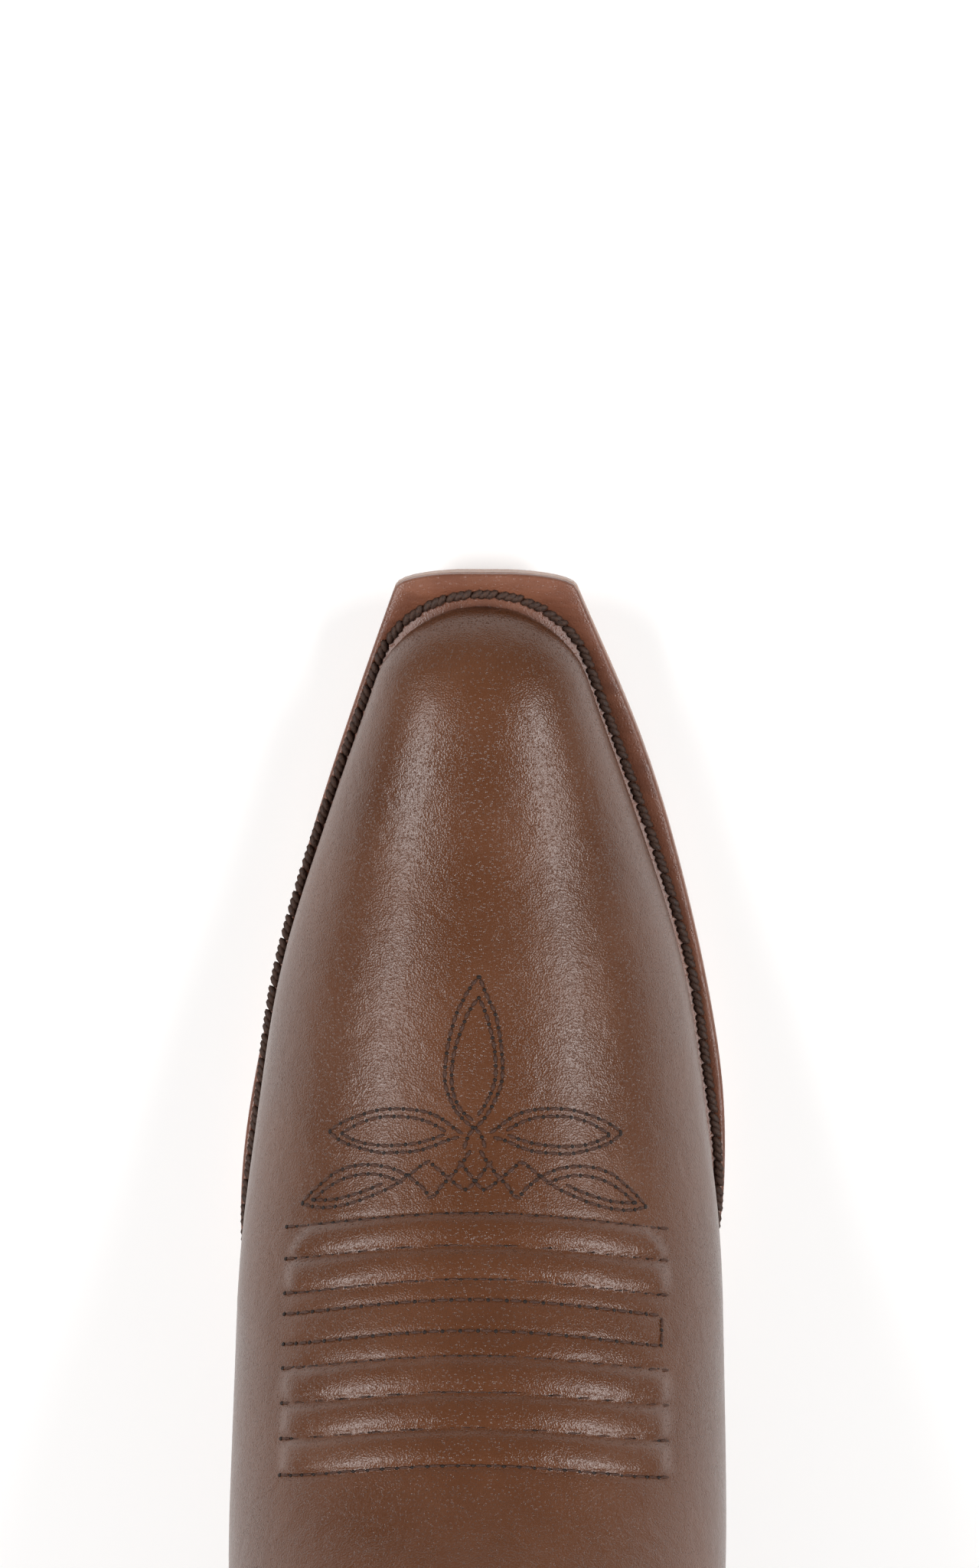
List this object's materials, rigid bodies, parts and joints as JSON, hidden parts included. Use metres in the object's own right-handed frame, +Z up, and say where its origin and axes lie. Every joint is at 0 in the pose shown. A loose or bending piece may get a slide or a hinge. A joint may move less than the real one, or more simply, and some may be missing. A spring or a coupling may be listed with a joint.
{
  "type": "cowboy boot",
  "caption": "Pull-on cowboy boot for the left foot, with a welted leather sole, snip toe, underslung stacked heel, corded vamp, tall shaft and pull straps.",
  "frame": {"origin": "on the floor, under the centre of the boot's outside box, with the tread of the heel and the ball of the sole standing on z = 0", "axes": "+Z up the shaft, +Y from the heel to the toe, +X to the medial (inner) side of the left foot"},
  "size_m": [0.111, 0.323, 0.3542],
  "materials": {
    "upper_leather": "polished smooth calf, mid brown, fine pores",
    "trim_leather": "polished, darker brown",
    "strap_leather": "polished, brown, stitched",
    "lining_leather": "matt, tan",
    "insole_leather": "matt vegetable-tanned leather board",
    "sole_leather": "burnished vegetable-tanned leather",
    "welt_leather": "stained reddish brown, trimmed edge",
    "heel_stack": "burnished stacked leather",
    "heel_rubber": "matt black",
    "cork": "granulated cork",
    "shank_steel": "spring steel",
    "nail_brass": "clinched nails",
    "stiffener_board": "leather board",
    "cotton_cord": "twisted cotton"
  },
  "bodies": {
    "boot": {"outsole": "sole_leather", "welt": "welt_leather", "heel_rand": "welt_leather", "insole_board": "insole_leather", "sock_liner": "lining_leather", "cork_filler": "cork", "steel_shank": "shank_steel", "heel_cap": "heel_rubber", "heel_lift_1": "heel_stack", "heel_lift_2": "heel_stack", "heel_lift_3": "heel_stack", "heel_lift_4": "heel_stack", "heel_lift_5": "heel_stack", "heel_wedge": "heel_stack", "heel_nail_1": "nail_brass", "heel_nail_2": "nail_brass", "heel_nail_3": "nail_brass", "heel_nail_4": "nail_brass", "heel_nail_5": "nail_brass", "heel_nail_6": "nail_brass", "vamp": "upper_leather", "counter_cover": "upper_leather", "shaft_front": "upper_leather", "shaft_back": "upper_leather", "heel_stiffener": "stiffener_board", "toe_puff": "stiffener_board", "wrinkle_cord_1": "cotton_cord", "wrinkle_cord_2": "cotton_cord", "wrinkle_cord_3": "cotton_cord", "wrinkle_cord_4": "cotton_cord", "wrinkle_cord_5": "cotton_cord", "vamp_lining": "lining_leather", "counter_lining": "lining_leather", "shaft_lining_front": "lining_leather", "shaft_lining_back": "lining_leather", "collar_binding": "trim_leather", "piping_medial": "trim_leather", "piping_lateral": "trim_leather", "pull_strap_medial_outer_tail": "strap_leather", "pull_strap_medial_inner_tail": "strap_leather", "pull_strap_lateral_outer_tail": "strap_leather", "pull_strap_lateral_inner_tail": "strap_leather"},
    "strap_medial": {"pull_strap_medial_loop": "strap_leather"},
    "strap_lateral": {"pull_strap_lateral_loop": "strap_leather"}
  },
  "joints": [
    {"name": "strap_medial_lean", "type": "hinge", "parent": "boot", "child": "strap_medial", "pos_m": [0.0493, -0.0974, 0.3362], "axis": [0, 1, 0], "range_deg": [-12.5, 12.5], "stiffness_Nm_per_rad": 0.2},
    {"name": "strap_lateral_lean", "type": "hinge", "parent": "boot", "child": "strap_lateral", "pos_m": [-0.0493, -0.0974, 0.3362], "axis": [0, 1, 0], "range_deg": [-12.5, 12.5], "stiffness_Nm_per_rad": 0.2}
  ]
}
